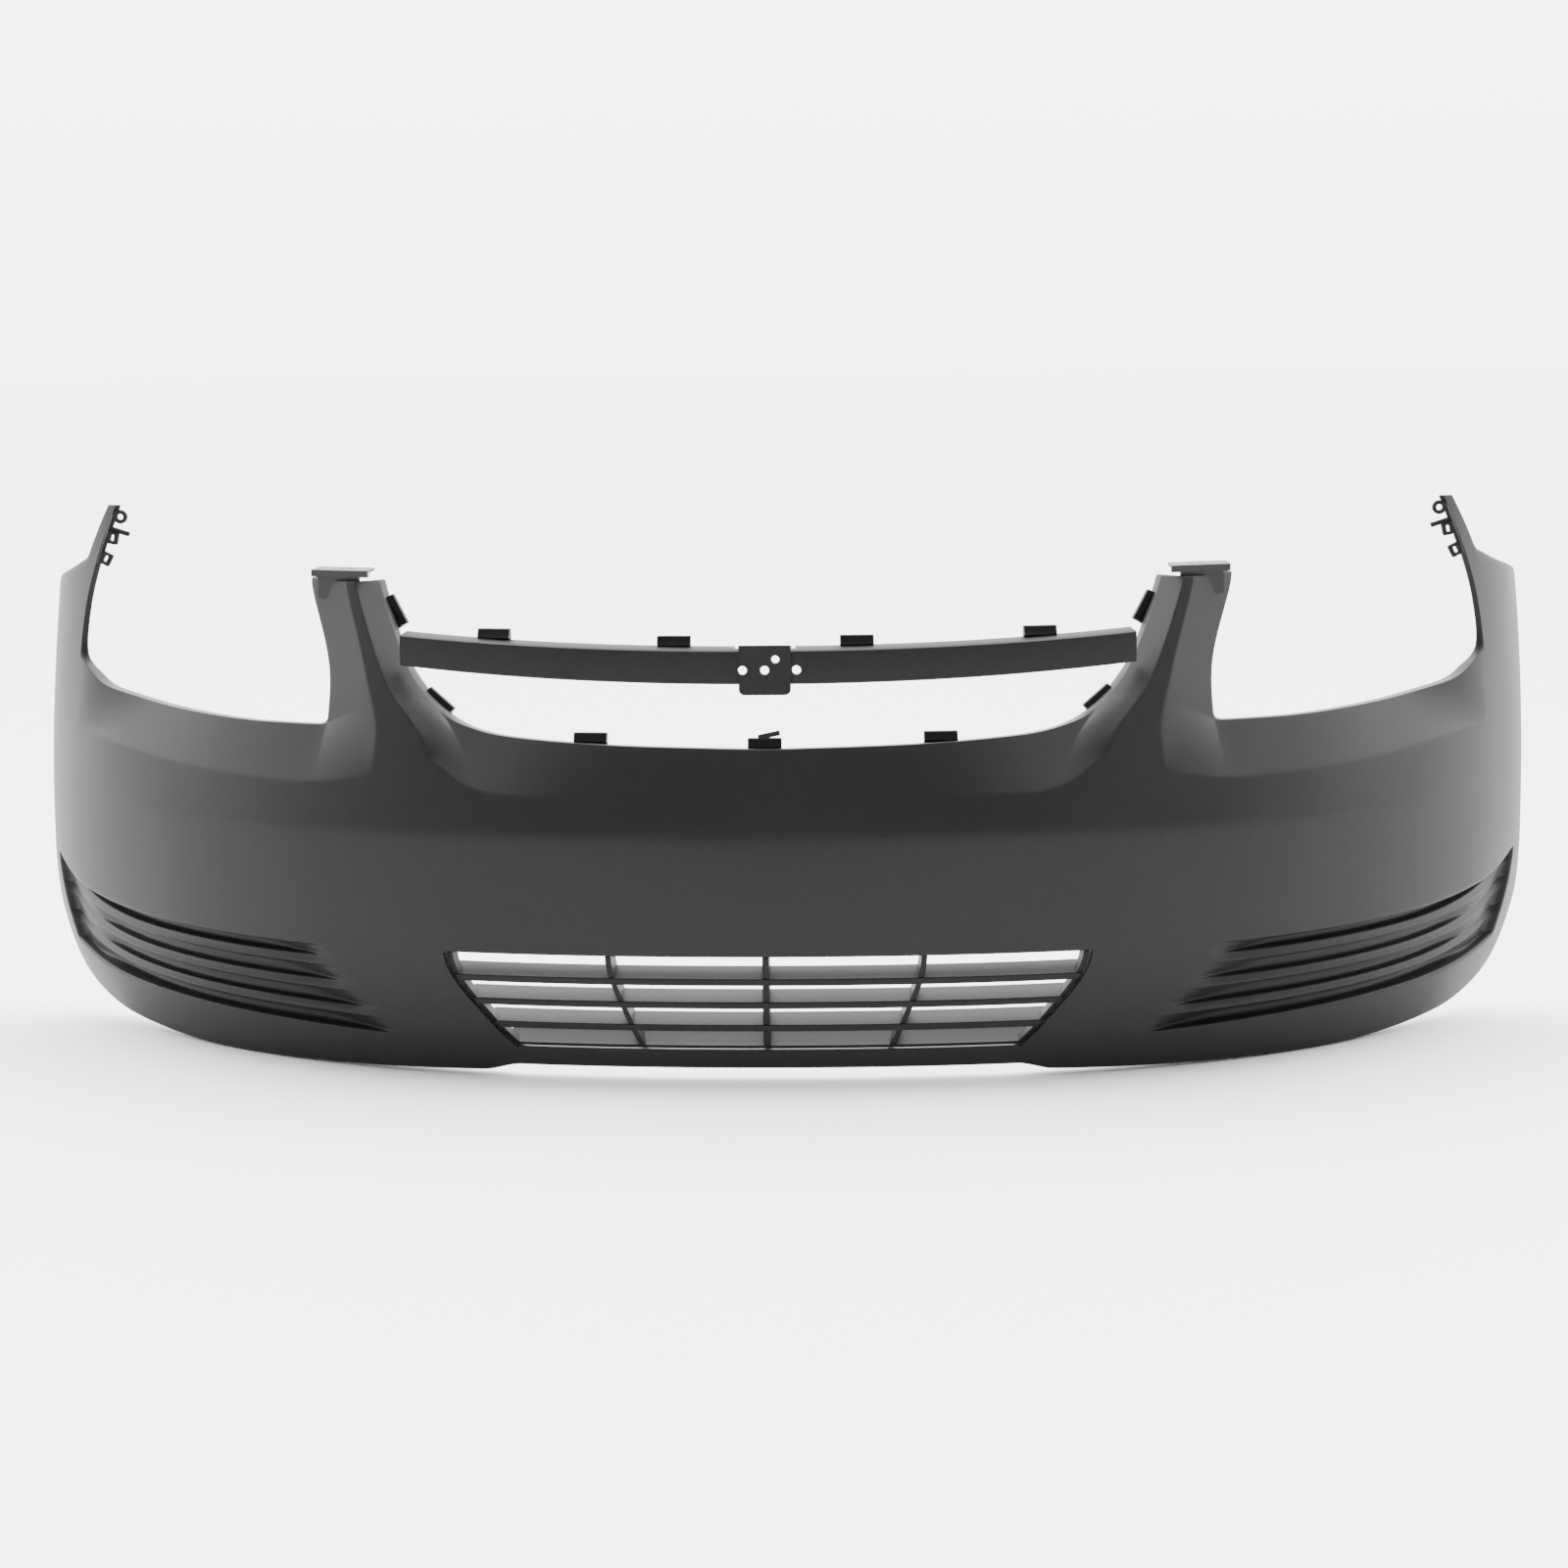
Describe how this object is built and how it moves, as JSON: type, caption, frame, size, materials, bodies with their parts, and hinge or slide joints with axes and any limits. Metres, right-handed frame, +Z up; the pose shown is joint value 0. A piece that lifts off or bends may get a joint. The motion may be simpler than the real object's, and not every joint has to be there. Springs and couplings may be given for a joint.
{
  "type": "bumper cover",
  "caption": "Unpainted dark grey front bumper cover of a compact saloon car, with a crossbar, a slatted lower grille and louvred corners.",
  "frame": {"origin": "centre-plane of the car, middle of the overall depth, level of the lowest edge", "axes": "+X towards the car's left side, -Y forwards, +Z up"},
  "size_m": [1.6674, 0.5539, 0.572],
  "materials": {
    "cover_plastic": "dark charcoal moulded plastic, satin",
    "trim_plastic": "fine grained dark plastic",
    "clip_plastic": "near black plastic",
    "bracket_plastic": "mid grey moulded plastic"
  },
  "bodies": {
    "root": {"bumper_skin": "cover_plastic", "upper_crossbar": "trim_plastic", "emblem_plate": "clip_plastic", "lower_grille": "trim_plastic", "crossbar_grille_clips": "clip_plastic", "left_column_grille_clips": "clip_plastic", "right_column_grille_clips": "clip_plastic", "sill_grille_clips": "clip_plastic", "left_fender_retainer": "clip_plastic", "right_fender_retainer": "clip_plastic", "left_column_bracket": "bracket_plastic", "right_column_bracket": "bracket_plastic"}
  },
  "joints": []
}
